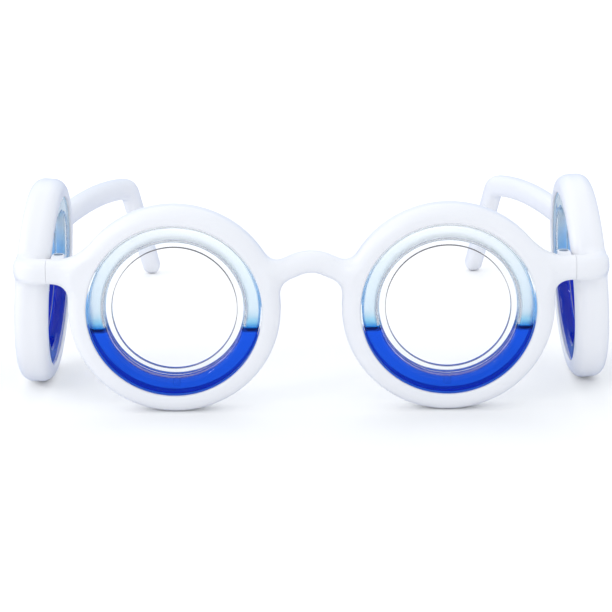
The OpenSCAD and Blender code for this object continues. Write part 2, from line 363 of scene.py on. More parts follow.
def flow_into(rows, normals, distance, width):
    """Moves each point out along its normal by t, to where the smooth minimum of t and the distance
    to the neighbour is zero. Both neighbours do so, and meet in the middle of the fillet with one
    slope."""
    t = np.zeros(rows.shape[:-1])
    for _ in range(FLOW_PASSES):
        other = distance(rows + normals * t[..., None])
        spread = np.clip(width - np.abs(t - other), 0, None)
        smooth_minimum = np.minimum(t, other) - spread ** 2 / (4 * width)
        t = np.clip(t - smooth_minimum, 0, FLOW_LIMIT * width)
    return rows + normals * t[..., None]


class Bar:
    """A form carried along a path, with a rounded-square section of its own width and height at
    every point."""

    COLUMNS = 56
    REACH = 8
    FAR = 50.0

    def __init__(self, path, widths, heights, power):
        self.path = path
        self.along = unit(np.gradient(path, axis=0))
        self.side = unit(np.cross(self.along, UP))
        self.up = np.cross(self.side, self.along)
        self.half = np.stack([widths, heights], -1) / 2
        self.power = power

    def rows(self):
        """A point is centre + side * w * |cos|^p + up * h * |sin|^p, with the signs of cosine and
        sine."""
        turn = np.linspace(0, 2 * np.pi, self.COLUMNS, endpoint=False)
        wave = np.stack([np.cos(turn), np.sin(turn)], -1)
        wave = np.sign(wave) * np.abs(wave) ** self.power
        across = self.side[:, None] * (self.half[:, None, :1] * wave[None, :, :1])
        upward = self.up[:, None] * (self.half[:, None, 1:] * wave[None, :, 1:])
        return self.path[:, None] + across + upward

    def distance(self, points):
        """Distance past the section's edge at the nearest point of the path, with a flat end."""
        flat = points.reshape(-1, 3)
        result = np.full(len(flat), self.FAR)
        reach = self.half.max() + self.REACH
        low, high = self.path.min(0) - reach, self.path.max(0) + reach
        near = np.all((flat > low) & (flat < high), 1)
        close = flat[near]
        gaps = ((close[:, None] - self.path[None]) ** 2).sum(-1)
        nearest = gaps.argmin(1)
        offset = close - self.path[nearest]
        across = (offset * self.side[nearest]).sum(-1)
        upward = (offset * self.up[nearest]).sum(-1)
        beyond = (offset * self.along[nearest]).sum(-1)
        before_start = (nearest == 0) & (beyond < 0)
        after_stop = (nearest == len(self.path) - 1) & (beyond > 0)
        radius = np.sqrt(across ** 2 + upward ** 2) + 1e-9
        exponent = 2 / self.power
        scaled = (np.abs(across / self.half[nearest, 0]) ** exponent
                  + np.abs(upward / self.half[nearest, 1]) ** exponent) ** (1 / exponent) + 1e-9
        side_gap = radius - radius / scaled
        past_end = np.sqrt(np.maximum(side_gap, 0) ** 2 + beyond ** 2)
        result[near] = np.where(before_start | after_stop, past_end, side_gap)
        return result.reshape(points.shape[:-1])


def rounded_end(rows, along, radius):
    """The loop of an end, moved on along the path and drawn in so that its edge is round."""
    turn = EDGE_TURN[:, None, None]
    middle = rows.mean(0)
    size = np.linalg.norm(rows - middle, axis=-1).mean()
    drawn_in = 1 - radius * (1 - np.cos(turn)) / size
    return middle + (rows - middle) * drawn_in + along * radius * np.sin(turn)


def mesh_piece(name, surfaces, materials, body, nodes):
    """A piece in place of some CAD nodes, from surfaces that each come with a material number for
    each part."""
    mesh = bpy.data.meshes.new(name)
    points, faces, numbers, offset = [], [], [], 0
    for (surface_points, surface_faces), part_numbers in surfaces:
        for part, number in zip(surface_faces, part_numbers):
            faces.append(part + offset)
            numbers.append(np.full(len(part), number))
        points.append(surface_points)
        offset += len(surface_points)
    points = np.clip(np.concatenate(points) * MM, CAD_BOX[0], CAD_BOX[1])
    corners = np.concatenate([f.ravel() for f in faces]).astype(np.int32)
    sizes = np.concatenate([np.full(len(f), f.shape[1]) for f in faces])
    starts = np.concatenate([[0], np.cumsum(sizes)[:-1]]).astype(np.int32)
    mesh.vertices.add(len(points))
    mesh.vertices.foreach_set("co", points.astype(np.float32).ravel())
    mesh.loops.add(int(sizes.sum()))
    mesh.loops.foreach_set("vertex_index", corners)
    mesh.polygons.add(len(sizes))
    mesh.polygons.foreach_set("loop_start", starts)
    mesh.polygons.foreach_set("material_index", np.concatenate(numbers).astype(np.int32))
    mesh.polygons.foreach_set("use_smooth", np.ones(len(sizes), bool))
    mesh.update(calc_edges=True)
    mesh.validate()
    mesh.set_sharp_from_angle(angle=SHARP_ANGLE)
    for material in materials:
        mesh.materials.append(material)
    piece = bpy.data.objects.new(name, mesh)
    bpy.context.scene.collection.objects.link(piece)
    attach(piece, body)
    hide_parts(*nodes)


# The places of the rings, from the frame
SIDE_AXIS = np.array([math.cos(SIDE_TURN) * math.cos(SIDE_LEAN),
                      math.sin(SIDE_TURN) * math.cos(SIDE_LEAN), math.sin(SIDE_LEAN)])
LEFT_EYE = Ring("left_eye_tube_front", "left_eye_tube_back", (0, -1, 0))
RIGHT_EYE = Ring("right_eye_tube_front", "right_eye_tube_back", (0, -1, 0))
LEFT_SIDE = Ring("left_side_tube_inner", "left_side_tube_outer", -SIDE_AXIS)
RIGHT_SIDE = Ring("right_side_tube_inner", "right_side_tube_outer", mirror(-SIDE_AXIS))
EYE_X, FRONT_Y, RING_Z = LEFT_EYE.centre
SIDE_X, SIDE_Y, SIDE_Z = LEFT_SIDE.centre


def side_plane_x(out, y, z):
    """X of the plane across the left side ring's axis that lies a distance out from its centre."""
    aside = (y - SIDE_Y) * SIDE_AXIS[1] + (z - SIDE_Z) * SIDE_AXIS[2]
    return SIDE_X + (out - aside) / SIDE_AXIS[0]


END_Z = RING_Z + END_RISE
RIM_FRONT_Y = SIDE_Y - math.sqrt(RING_R ** 2 - END_RISE ** 2)
HINGE_Y = FRONT_Y + END_T / 2 + HINGE_SET_BACK
SIDE_INNER_X = side_plane_x(-RIM_DEPTH / 2, HINGE_Y, END_Z + HINGE_H / 2)
SIDE_OUTER_X = side_plane_x(RIM_DEPTH / 2, RIM_FRONT_Y, END_Z)
JOINT_X = SIDE_INNER_X + JOINT_OUTSET
HINGE = np.array([SIDE_INNER_X - HINGE_INSET, HINGE_Y, 0.0])
HINGE_LOW = END_Z - HINGE_H / 2
HINGE_TOP = END_Z + HINGE_H / 2
OUTER_KNUCKLE_H = (HINGE_H - MIDDLE_KNUCKLE_H) / 2 - KNUCKLE_GAP
LEVEL = RING_Z - LIQUID_DROP
FILM_TOP = LEVEL + MENISCUS


def rim_rows(ring):
    """The white rim: its section, with the tube's groove and a fine lip over the tube's outer wall
    on each face, turned round the ring's axis."""
    half = RIM_DEPTH / 2
    groove = FLANGE_T + TUBE_CLEARANCE
    deep = BORE_R + SNAP_REACH + TUBE_CLEARANCE
    lip_r, lip_z = BORE_R - RIM_LIP, TUBE_DEPTH / 2 + FINE_GAP
    first_half = [(lip_r, half), (lip_r, lip_z), (BORE_R, lip_z), (BORE_R, groove), (deep, groove)]
    second_half = [(r, -z) for r, z in reversed(first_half)]
    corners = [(RING_R, -half), (RING_R, half), *first_half, *second_half]
    radii = [RIM_ROUND, RIM_ROUND, RIM_EDGE, *[0] * 8, RIM_EDGE]
    section = outline(corners, radii, RIM_STEP)
    turn = np.linspace(0, 2 * np.pi, RIM_TURNS, endpoint=False)
    return ring.at(section[None, :, 0], turn[:, None], section[None, :, 1])


def rim_normals(ring, rows):
    """Normals away from the rim, and none on the walls of its bore and groove."""
    normals = grid_normals(rows, True)
    offset = rows - ring.centre
    radius = np.linalg.norm(offset - (offset @ ring.axis)[..., None] * ring.axis, axis=-1)
    return normals * np.clip((radius - BORE_R - FLOW_START) / FLOW_BLEND, 0, 1)[..., None]


def bridge_bar():
    """The arch between the front rings: two straight limbs and a bend at the peak."""
    seat_r = RING_R - RIM_W / 2
    seat = np.array([EYE_X - seat_r * math.cos(BRIDGE_ANGLE), FRONT_Y,
                     RING_Z + seat_r * math.sin(BRIDGE_ANGLE)])
    peak = np.array([0.0, FRONT_Y, RING_Z + BRIDGE_RISE])
    left_bend = peak + (seat - peak) * BRIDGE_BEND
    path = np.concatenate([
        line(mirror(seat), mirror(left_bend), STEP),
        curve(mirror(left_bend), peak, left_bend, STEP),
        line(left_bend, seat, STEP), [seat]])
    size = np.full(len(path), BRIDGE_D)
    return Bar(path, size, size, BRIDGE_POWER)


def end_bar():
    """The left end piece, from inside the rim to the joint."""
    seat_r = RING_R - RIM_W / 2
    start = np.array([EYE_X + math.sqrt(seat_r ** 2 - END_RISE ** 2), FRONT_Y, END_Z])
    stop = np.array([JOINT_X + JOINT_PROUD - JOINT_EDGE, FRONT_Y, END_Z])
    path = np.concatenate([line(start, stop, STEP), [stop]])
    return Bar(path, np.full(len(path), END_T), np.full(len(path), END_H), END_POWER)


def corner_bar():
    """The left temple's corner, from the joint round to the outer face of the side ring."""
    out_x = SIDE_OUTER_X + CORNER_PROUD - END_T / 2
    turn_r = CORNER_R - END_T / 2
    turn_x = out_x - turn_r
    start = np.array([JOINT_X + JOINT_GAP - JOINT_PROUD + JOINT_EDGE, FRONT_Y, END_Z])
    a = np.linspace(0, np.pi / 2, CORNER_PLACES)
    turn = np.stack([turn_x + turn_r * np.sin(a), FRONT_Y + turn_r * (1 - np.cos(a)),
                     np.full(len(a), END_Z)], -1)
    stop = np.array([out_x - CORNER_PROUD, RIM_FRONT_Y + CORNER_RUN, END_Z])
    path = np.concatenate([
        line(start, turn[0], STEP), turn, line(turn[-1], stop, STEP)[1:], [stop]])
    taper = CORNER_TAPER * np.clip((path[:, 1] - turn[-1, 1]) / (stop[1] - turn[-1, 1]), 0, 1)
    return Bar(path, END_T - taper, END_H - taper, END_POWER)


def temple_bar():
    """The left bar and ear hook: a gentle arch back, an elbow, and a straight hook with a round
    tip."""
    root_r = RING_R - RIM_W / 2
    root_y, root_z = SIDE_Y + math.sqrt(root_r ** 2 - BAR_RISE ** 2), RING_Z + BAR_RISE
    root = np.array([side_plane_x(0, root_y, root_z), root_y, root_z])
    arch = np.array([ARCH_SPACING / 2, FRONT_Y + ARCH_BACK, ARCH_Z])
    elbow = np.array([ELBOW_SPACING / 2, FRONT_Y + ELBOW_BACK, ELBOW_Z])
    tip_r = TIP_D / 2
    tip = np.array([TIP_SPACING / 2, FRONT_Y + TIP_BACK, tip_r])
    down = unit(tip - elbow)
    turn_start = elbow + unit(arch - elbow) * ELBOW_TURN
    turn_end = elbow + down * ELBOW_TURN
    straight = np.concatenate([
        curve(root, arch, turn_start, STEP), curve(turn_start, elbow, turn_end, STEP)])
    hook = np.concatenate([line(turn_end, tip, STEP), [tip]])
    cap = tip + down * tip_r * np.sin(TIP_TURN)[:, None]
    share = np.linspace(0, 1, len(hook))
    widths, heights = (
        np.concatenate([np.full(len(straight), size), size + (TIP_D - size) * share,
                        TIP_D * np.cos(TIP_TURN)])
        for size in (BAR_W, BAR_H))
    return Bar(np.concatenate([straight, hook, cap]), widths, heights, BAR_POWER)


def eyelet(centre, low, high, reach, bore):
    """A knuckle on its web: loops from the bore out to the edge, which lies as far out as
    reach(angle) says. bore lists (height, radius) up the bore's wall."""
    turn = np.linspace(0, 2 * np.pi, KNUCKLE_TURNS, endpoint=False)
    edge = reach(turn)
    bevelled = edge - KNUCKLE_BEVEL
    loops = [(z, np.full(len(turn), r)) for z, r in bore]
    loops += [(high, bevelled), (high - KNUCKLE_BEVEL, edge), (low + KNUCKLE_BEVEL, edge),
              (low, bevelled)]
    around = np.stack([np.cos(turn), np.sin(turn), 0 * turn], -1)
    rows = np.stack([centre + UP * z + around * r[:, None] for z, r in loops])
    return facing(closed_ring(rows))


def box_reach(turn, half_width, length):
    """How far a box runs from its end's middle, in the directions of the angles, where it runs
    along angle 0."""
    ahead = np.maximum(np.cos(turn), 1e-6)
    aside = np.maximum(np.abs(np.sin(turn)), 1e-6)
    return np.where(np.cos(turn) > 0, np.minimum(length / ahead, half_width / aside), 0)


def front_eyelets():
    """The front's two knuckles on the left, whose webs run forward into the end piece."""
    def reach(turn):
        web = box_reach(turn + np.pi / 2, KNUCKLE_R, HINGE_SET_BACK + WEB_SEAT)
        return np.maximum(web, KNUCKLE_R)

    low, high = HINGE_LOW, HINGE_LOW + OUTER_KNUCKLE_H
    lower = eyelet(HINGE, low, high, reach, [(low, SHANK_BORE_R), (high, SHANK_BORE_R)])
    low, high = HINGE_TOP - OUTER_KNUCKLE_H, HINGE_TOP
    seat = high - HEAD_H
    bore = [(low, SHANK_BORE_R), (seat, SHANK_BORE_R), (seat, HEAD_BORE_R), (high, HEAD_BORE_R)]
    return [lower, eyelet(HINGE, low, high, reach, bore)]


def temple_eyelet():
    """The temple's middle knuckle on the left, whose tongue runs out into the side ring."""
    def reach(turn):
        return np.maximum(box_reach(turn, TONGUE_T / 2, HINGE_INSET + TONGUE_SEAT), KNUCKLE_R)

    low, high = END_Z - MIDDLE_KNUCKLE_H / 2, END_Z + MIDDLE_KNUCKLE_H / 2
    return eyelet(HINGE, low, high, reach, [(low, SHANK_BORE_R), (high, SHANK_BORE_R)])


def flipped(surface):
    """The surface on the wearer's other side, with its faces out again."""
    points, faces = surface
    return facing((mirror(points), faces))


def behind_faces(rows, ring):
    """Keeps a form that flows into a rim just under the rim's two flat faces."""
    along = (rows - ring.centre) @ ring.axis
    face = RIM_DEPTH / 2 - FINE_GAP
    return rows + ring.axis * (np.clip(along, -face, face) - along)[..., None]


def front_moulding():
    """The front rims, bridge, end pieces and outer knuckles as one moulding."""
    bridge = bridge_bar()
    end = end_bar()
    rim = rim_rows(LEFT_EYE)
    normals = rim_normals(LEFT_EYE, rim)
    rim = flow_into(rim, normals, bridge.distance, BRIDGE_FLOW)
    rim = flow_into(rim, normals, end.distance, END_FLOW)
    arch = bridge.rows()
    normals = grid_normals(arch, False)
    arch = flow_into(arch, normals, LEFT_EYE.distance, BRIDGE_FLOW)
    arch = behind_faces(flow_into(arch, normals, RIGHT_EYE.distance, BRIDGE_FLOW), LEFT_EYE)
    lug = end.rows()
    lug = flow_into(lug, grid_normals(lug, False), LEFT_EYE.distance, END_FLOW)
    lug = behind_faces(lug, LEFT_EYE)
    lug = np.concatenate([lug, rounded_end(lug[-1], end.along[-1], JOINT_EDGE)])
    left = [facing(closed_ring(rim)), facing(closed_tube(lug)), *front_eyelets()]
    return [facing(closed_tube(arch)), *left, *[flipped(s) for s in left]]


def temple_moulding():
    """The left side rim with its corner, bar, ear hook and middle knuckle as one moulding."""
    corner = corner_bar()
    bar = temple_bar()
    rim = rim_rows(LEFT_SIDE)
    normals = rim_normals(LEFT_SIDE, rim)
    rim = flow_into(rim, normals, corner.distance, CORNER_FLOW)
    rim = flow_into(rim, normals, bar.distance, BAR_FLOW)
    turn = corner.rows()
    turn = flow_into(turn, grid_normals(turn, False), LEFT_SIDE.distance, CORNER_FLOW)
    turn = np.concatenate([rounded_end(turn[0], -corner.along[0], JOINT_EDGE)[::-1], turn,
                           rounded_end(turn[-1], corner.along[-1], EDGE)])
    arm = bar.rows()
    arm = flow_into(arm, grid_normals(arm, False), LEFT_SIDE.distance, BAR_FLOW)
    return [facing(closed_ring(rim)), facing(closed_tube(turn)), facing(closed_tube(arm)),
            temple_eyelet()]


def slab_outline(width, depth, radius, step):
    """A rounded rectangle about the middle of the tube."""
    x, y = width / 2, depth / 2
    corners = [(TUBE_MID_R + x, -y), (TUBE_MID_R + x, y), (TUBE_MID_R - x, y), (TUBE_MID_R - x, -y)]
    return outline(corners, [radius] * 4, step)


def hollow_patches(ring, section):
    """The hollow's wall in two patches, which meet along the liquid's edge: the dry one over the
    top, and the wet one under the liquid. At a point of the section, the turn runs evenly between
    its two edge angles."""
    radius, along = section.T
    edge = ring.level_turn(radius, along, MENISCUS)
    over = [edge + (2 * np.pi - 2 * edge) * u for u in np.linspace(0, 1, DRY_TURNS)]
    under = [-edge + 2 * edge * u for u in np.linspace(0, 1, WET_TURNS)]
    points, (quads,) = closed_ring(ring.at(radius[None], np.stack(over + under), along[None]))
    count = DRY_TURNS * len(section)
    turned, (quads,) = facing((points, [quads]), inward=True)
    return turned, quads[:count], quads[count:]


def tube_surfaces(ring):
    """The clear tube: its outside with both flanges, its hollow, the edge of its flanges with a
    line of painted shade, and the matt wall that is seated on the rim and turns in a little on the
    back, with painted reflection and a painted glow."""
    half = TUBE_DEPTH / 2
    flange_in = TUBE_IN_R - FLANGE_W
    flange_out = BORE_R + SNAP_REACH
    first_half = [(TUBE_OUT_R, FLANGE_T, SNAP_EDGE), (TUBE_OUT_R, half, SEATED_ROUND),
                  (TUBE_IN_R, half, TUBE_ROUND), (TUBE_IN_R, FLANGE_T, FLANGE_ROOT),
                  (flange_in, FLANGE_T, FLANGE_EDGE)]
    second_half = [(r, -z, rounding) for r, z, rounding in reversed(first_half)]
    snap = [(flange_out, -FLANGE_T, SNAP_EDGE), (flange_out, FLANGE_T, SNAP_EDGE)]
    section = np.array([*first_half, *second_half, *snap])
    outside = outline(section[:, :2], section[:, 2], TUBE_STEP)
    turn = np.linspace(0, 2 * np.pi, TUBE_TURNS, endpoint=False)[:, None]
    points, (quads,) = facing(closed_ring(ring.at(outside[None, :, 0], turn, outside[None, :, 1])))
    radius, along = outside.T
    lip = (radius < flange_in + FLANGE_LIP) & (np.abs(along) > FLANGE_T - FLANGE_LIP_T)
    hidden = radius > TUBE_OUT_R - np.where(along < 0, SEATED_BACK, SEATED_FRONT)
    column = np.arange(len(quads)) % len(outside)
    on_lip = (lip & np.roll(lip, -1))[column]
    on_hidden = (hidden & np.roll(hidden, -1))[column]
    hollow = slab_outline(TUBE_W - 2 * TUBE_WALL, TUBE_DEPTH - 2 * TUBE_WALL,
                          TUBE_ROUND - TUBE_WALL, TUBE_STEP)
    wall, dry, wet = hollow_patches(ring, hollow)
    # The flange's lip takes the painted shade line, and the seated part the wall with painted
    # reflection and glow
    parts = [quads[~on_lip & ~on_hidden], quads[on_lip], quads[on_hidden]]
    return [((points, parts), [0, 3, 4]), ((wall, [dry, wet]), [1, 2])]


def liquid_surface(ring):
    """The liquid: its section swept round the bottom of the ring up to one level, where each end is
    a dish that climbs the wall with the cube of the distance from its middle."""
    grow = 2 * (WETTED - TUBE_WALL)
    section = slab_outline(TUBE_W + grow, TUBE_DEPTH + grow, TUBE_ROUND + grow / 2, LIQUID_STEP)
    middle = section.mean(0)
    rows = []
    for s in np.linspace(DISH_MIDDLE, 1, DISH_LOOPS):
        radius, along = (middle + (section - middle) * s).T
        rows.append((radius, ring.level_turn(radius, along, MENISCUS * s ** 3), along))
    dish = [ring.at(radius, turn, along) for radius, turn, along in rows]
    far_dish = [ring.at(radius, -turn, along) for radius, turn, along in reversed(rows)]
    radius, along = section.T
    edge = ring.level_turn(radius, along, MENISCUS)
    body = [ring.at(radius, edge * u, along) for u in np.linspace(1, -1, WET_TURNS)[1:-1]]
    return facing(closed_tube(np.stack([*dish, *body, *far_dish])))


def plug_surface(ring):
    """The plug's low head on the face of the second tube half, over the filling port: loops up its
    side and rounded edge, and in over its top, which dips a little."""
    edge_r = PLUG_HEAD_R - PLUG_EDGE_R + PLUG_EDGE_R * np.cos(PLUG_EDGE_TURN)
    edge_z = PLUG_HEAD_H - PLUG_EDGE_R + PLUG_EDGE_R * np.sin(PLUG_EDGE_TURN)
    radius = np.concatenate([[PLUG_HEAD_R], edge_r, PLUG_TOP_R])
    height = np.concatenate([[-PLUG_SINK], edge_z, PLUG_HEAD_H - np.array(PLUG_TOP_DIP)])
    turn = np.linspace(0, 2 * np.pi, PLUG_TURNS, endpoint=False)
    centre = ring.at(TUBE_MID_R, 0.0, -TUBE_DEPTH / 2)
    around = np.cos(turn)[:, None] * ring.side + np.sin(turn)[:, None] * ring.up
    rows = np.stack([centre - ring.axis * z + around * r for r, z in zip(radius, height)])
    return facing(closed_tube(rows))


def new_material(name):
    """A material with its nodes, its links and its shader."""
    material = bpy.data.materials.new(name)
    material.use_nodes = True
    nodes = material.node_tree.nodes
    return material, nodes, material.node_tree.links, nodes["Principled BSDF"]


def moulded_group():
    """A node group: soft cloudy variation and a fine skin, as moulded plastic has."""
    group = bpy.data.node_groups.new("moulded_skin", "ShaderNodeTree")
    face = group.interface
    face.new_socket("Vector", in_out="INPUT", socket_type="NodeSocketVector")
    for name in ("Cloud Scale", "Skin Scale", "Low", "High"):
        face.new_socket(name, in_out="INPUT", socket_type="NodeSocketFloat")
    for name in ("Cloud", "Range", "Skin"):
        face.new_socket(name, in_out="OUTPUT", socket_type="NodeSocketFloat")
    nodes, links = group.nodes, group.links
    inside = nodes.new("NodeGroupInput")
    outside = nodes.new("NodeGroupOutput")
    cloud = nodes.new("ShaderNodeTexNoise")
    cloud.inputs["Detail"].default_value = 3
    skin = nodes.new("ShaderNodeTexNoise")
    skin.inputs["Detail"].default_value = 2
    between = nodes.new("ShaderNodeMapRange")
    links.new(inside.outputs["Vector"], cloud.inputs["Vector"])
    links.new(inside.outputs["Vector"], skin.inputs["Vector"])
    links.new(inside.outputs["Cloud Scale"], cloud.inputs["Scale"])
    links.new(inside.outputs["Skin Scale"], skin.inputs["Scale"])
    links.new(cloud.outputs["Fac"], between.inputs["Value"])
    links.new(inside.outputs["Low"], between.inputs["To Min"])
    links.new(inside.outputs["High"], between.inputs["To Max"])
    links.new(cloud.outputs["Fac"], outside.inputs["Cloud"])
    links.new(between.outputs["Result"], outside.inputs["Range"])
    links.new(skin.outputs["Fac"], outside.inputs["Skin"])
    return group


MOULDED = moulded_group()


def add_skin(material, shader, low, high, bump, cloud_scale=60.0, skin_scale=900.0):
    """Places the moulded skin in a material: it sets the roughness between two values, and a faint
    bump."""
    nodes, links = material.node_tree.nodes, material.node_tree.links
    place = nodes.new("ShaderNodeTexCoord")
    skin = nodes.new("ShaderNodeGroup")
    skin.node_tree = MOULDED
    values = {"Cloud Scale": cloud_scale, "Skin Scale": skin_scale, "Low": low, "High": high}
    for name, value in values.items():
        skin.inputs[name].default_value = value
    links.new(place.outputs["Object"], skin.inputs["Vector"])
    links.new(skin.outputs["Range"], shader.inputs["Roughness"])
    relief = nodes.new("ShaderNodeBump")
    relief.inputs["Strength"].default_value = bump
    relief.inputs["Distance"].default_value = SKIN_DEPTH * MM
    links.new(skin.outputs["Skin"], relief.inputs["Height"])
    links.new(relief.outputs["Normal"], shader.inputs["Normal"])
    return skin


def colour_ramp(nodes, *stops):
    """A ramp through stops, each a position and a colour."""
    ramp = nodes.new("ShaderNodeValToRGB")
    elements = ramp.color_ramp.elements
    elements[0].position, elements[1].position = stops[0][0], stops[-1][0]
    elements[0].color, elements[1].color = (*stops[0][1], 1), (*stops[-1][1], 1)
    for position, colour in stops[1:-1]:
        elements.new(position).color = (*colour, 1)
    return ramp


def make_clear(shader, ior):
    """Lets light through, bent by an index of refraction."""
    shader.inputs["IOR"].default_value = ior
    shader.inputs["Transmission Weight"].default_value = 1.0


def cloud_colour(material, shader, skin, first, second):
    """The base colour drifts between two close colours with the skin's clouds."""
    nodes, links = material.node_tree.nodes, material.node_tree.links
    ramp = colour_ramp(nodes, (0.3, first), (0.7, second))
    links.new(skin.outputs["Cloud"], ramp.inputs["Fac"])
    links.new(ramp.outputs["Color"], shader.inputs["Base Color"])


def white_plastic():
    """Satin white, a little cool, as the moulded frame is."""
    material, _, _, shader = new_material("satin_white_plastic")
    skin = add_skin(material, shader, 0.28, 0.36, 0.25)
    cloud_colour(material, shader, skin, (0.86, 0.865, 0.895), (0.88, 0.885, 0.915))
    shader.inputs["IOR"].default_value = WHITE_IOR
    return material


def clear_plastic():
    """Clear in the open, and steel blue where it is seen along its skin."""
    material, nodes, links, shader = new_material("clear_plastic")
    add_skin(material, shader, 0.0, 0.02, 0.08)
    edge = nodes.new("ShaderNodeLayerWeight")
    edge.inputs["Blend"].default_value = 0.35
    tint = colour_ramp(nodes, (0.3, (0.98, 0.99, 1)), (0.8, (0.24, 0.60, 0.92)))
    links.new(edge.outputs["Facing"], tint.inputs["Fac"])
    links.new(tint.outputs["Color"], shader.inputs["Base Color"])
    make_clear(shader, PLASTIC_IOR)
    return material


def wetted_wall():
    """The tube's inner wall under the liquid, with the refraction from plastic into liquid."""
    material, _, _, shader = new_material("wetted_clear_plastic")
    skin = add_skin(material, shader, 0.0, 0.02, 0.0)
    cloud_colour(material, shader, skin, (0.97, 0.985, 1.0), (0.985, 0.995, 1.0))
    make_clear(shader, PLASTIC_IOR / LIQUID_IOR)
    return material


def flange_edge_painted_shade():
    """The flange's inner lip as a fine dark matt line: painted shade, standing in for the dark line
    that light bending at the clear edge makes.
    """
    material, _, _, shader = new_material("painted_shade_flange_edge")
    skin = add_skin(material, shader, 0.4, 0.6, 0.3)
    # Painted shade: dark grey on the flange's lip
    cloud_colour(material, shader, skin, (0.30, 0.27, 0.27), (0.36, 0.33, 0.33))
    return material


def height_share(nodes, links, low, high):
    """The height between two heights in millimetres as a share, and the sockets of the place."""
    place = nodes.new("ShaderNodeTexCoord")
    split = nodes.new("ShaderNodeSeparateXYZ")
    height = nodes.new("ShaderNodeMapRange")
    height.inputs["From Min"].default_value = low * MM
    height.inputs["From Max"].default_value = high * MM
    links.new(place.outputs["Object"], split.inputs["Vector"])
    links.new(split.outputs["Z"], height.inputs["Value"])
    return height.outputs["Result"], split.outputs


def height_ramp(material, shader, *stops):
    """The base colour by height: each stop is a height in millimetres and a colour."""
    nodes, links = material.node_tree.nodes, material.node_tree.links
    low, high = stops[0][0], stops[-1][0]
    share, _ = height_share(nodes, links, low, high)
    ramp = colour_ramp(nodes, *[((z - low) / (high - low), colour) for z, colour in stops])
    links.new(share, ramp.inputs["Fac"])
    links.new(ramp.outputs["Color"], shader.inputs["Base Color"])
    return ramp


def seated_wall():
    """The tube's outer wall, seated on the white rim: royal blue behind the liquid, steel blue over
    it, white on top. The blues are painted reflection, standing in for the liquid seen mirrored and
    bent in the clear wall, and a faint painted glow stands in for the light that the clear plastic
    carries to it."""
    material, _, _, shader = new_material("seated_tube_wall_painted_light")
    add_skin(material, shader, 0.5, 0.7, 0.2)
    # Painted reflection: the blues stand in for the liquid seen in the clear wall
    royal = (0.04, 0.2, 0.8)
    ramp = height_ramp(material, shader, (LEVEL, royal), (FILM_TOP - 0.2, royal),
                       (FILM_TOP + 0.2, (0.30, 0.60, 0.98)), (LEVEL + 8, (0.36, 0.66, 0.98)),
                       (LEVEL + 18, (0.92, 0.95, 0.98)), (LEVEL + RAMP_H, (0.94, 0.96, 0.98)))
    # Painted glow: the wall glows in its own colours, though it is no lamp
    material.node_tree.links.new(ramp.outputs["Color"], shader.inputs["Emission Color"])
    shader.inputs["Emission Strength"].default_value = 0.3
    return material


def filmed_wall():
    """The tube's inner wall over the liquid: a matt film tints it, more so just above the level."""
    material, _, _, shader = new_material("filmed_clear_plastic")
    add_skin(material, shader, 0.34, 0.4, 0.0)
    height_ramp(material, shader, (FILM_TOP, (0.12, 0.55, 0.84)),
                (FILM_TOP + 0.9, (0.45, 0.74, 0.92)), (FILM_TOP + 2.6, (0.78, 0.90, 0.96)),
                (FILM_TOP + 15.6, (0.88, 0.95, 0.98)), (FILM_TOP + RAMP_H, (0.97, 0.985, 0.995)))
    make_clear(shader, PLASTIC_IOR)
    return material


def blue_liquid():
    """Royal blue, with a navy line of painted shade along its level on the side before the eyes,
    and a cyan top that grows pale, a painted glow. The wet wall already bends the light into it, so
    its own skin hardly does."""
    material, nodes, links, shader = new_material("blue_liquid")
    add_skin(material, shader, 0.0, 0.01, 0.0)
    share, place = height_share(nodes, links, LEVEL - 1, FILM_TOP)
    # Painted light: the navy band is painted shade along the meniscus, and the cyan to near white
    # at the top is a painted glow
    royal, navy, cyan = (0.012, 0.105, 0.74), (0.002, 0.012, 0.12), (0.06, 0.45, 0.80)
    painted_shade_line = colour_ramp(nodes, (0.42, royal), (0.56, navy), (0.84, navy), (0.98, cyan))
    painted_glow_top = colour_ramp(nodes, (0.3, royal), (0.45, cyan), (1.0, (0.6, 0.9, 1)))
    before_eyes = nodes.new("ShaderNodeMath")
    before_eyes.operation = "LESS_THAN"
    before_eyes.inputs[1].default_value = (FRONT_Y - PAINTED_SHADE_LINE_AHEAD) * MM
    either = nodes.new("ShaderNodeMix")
    either.data_type = "RGBA"
    links.new(place["Y"], before_eyes.inputs[0])
    links.new(share, painted_shade_line.inputs["Fac"])
    links.new(share, painted_glow_top.inputs["Fac"])
    links.new(before_eyes.outputs[0], either.inputs[0])
    links.new(painted_glow_top.outputs["Color"], either.inputs[6])
    links.new(painted_shade_line.outputs["Color"], either.inputs[7])
    links.new(either.outputs[2], shader.inputs["Base Color"])
    make_clear(shader, LIQUID_SKIN_IOR)
    volume = nodes.new("ShaderNodeVolumeAbsorption")
    volume.inputs["Color"].default_value = (0.02, 0.55, 0.93, 1)
    volume.inputs["Density"].default_value = LIQUID_DENSITY
    links.new(volume.outputs["Volume"], nodes["Material Output"].inputs["Volume"])
    return material


def screw_steel():
    """Bright brushed steel, with a finer skin than the plastics."""
    material, _, _, shader = new_material("brushed_screw_steel")
    skin = add_skin(material, shader, 0.22, 0.38, 0.3, cloud_scale=300.0, skin_scale=3000.0)
    cloud_colour(material, shader, skin, (0.62, 0.63, 0.65), (0.72, 0.73, 0.75))
    shader.inputs["Metallic"].default_value = 1.0
    return material


def plug_plastic():
    """Clear, and hardly bending the light, so that it doesn't darken the liquid before it."""
    material, _, _, shader = new_material("clear_plug_plastic")
    skin = add_skin(material, shader, 0.05, 0.1, 0.1)
    cloud_colour(material, shader, skin, (0.94, 0.97, 0.99), (0.96, 0.98, 1.0))
    make_clear(shader, PLUG_IOR)
    return material


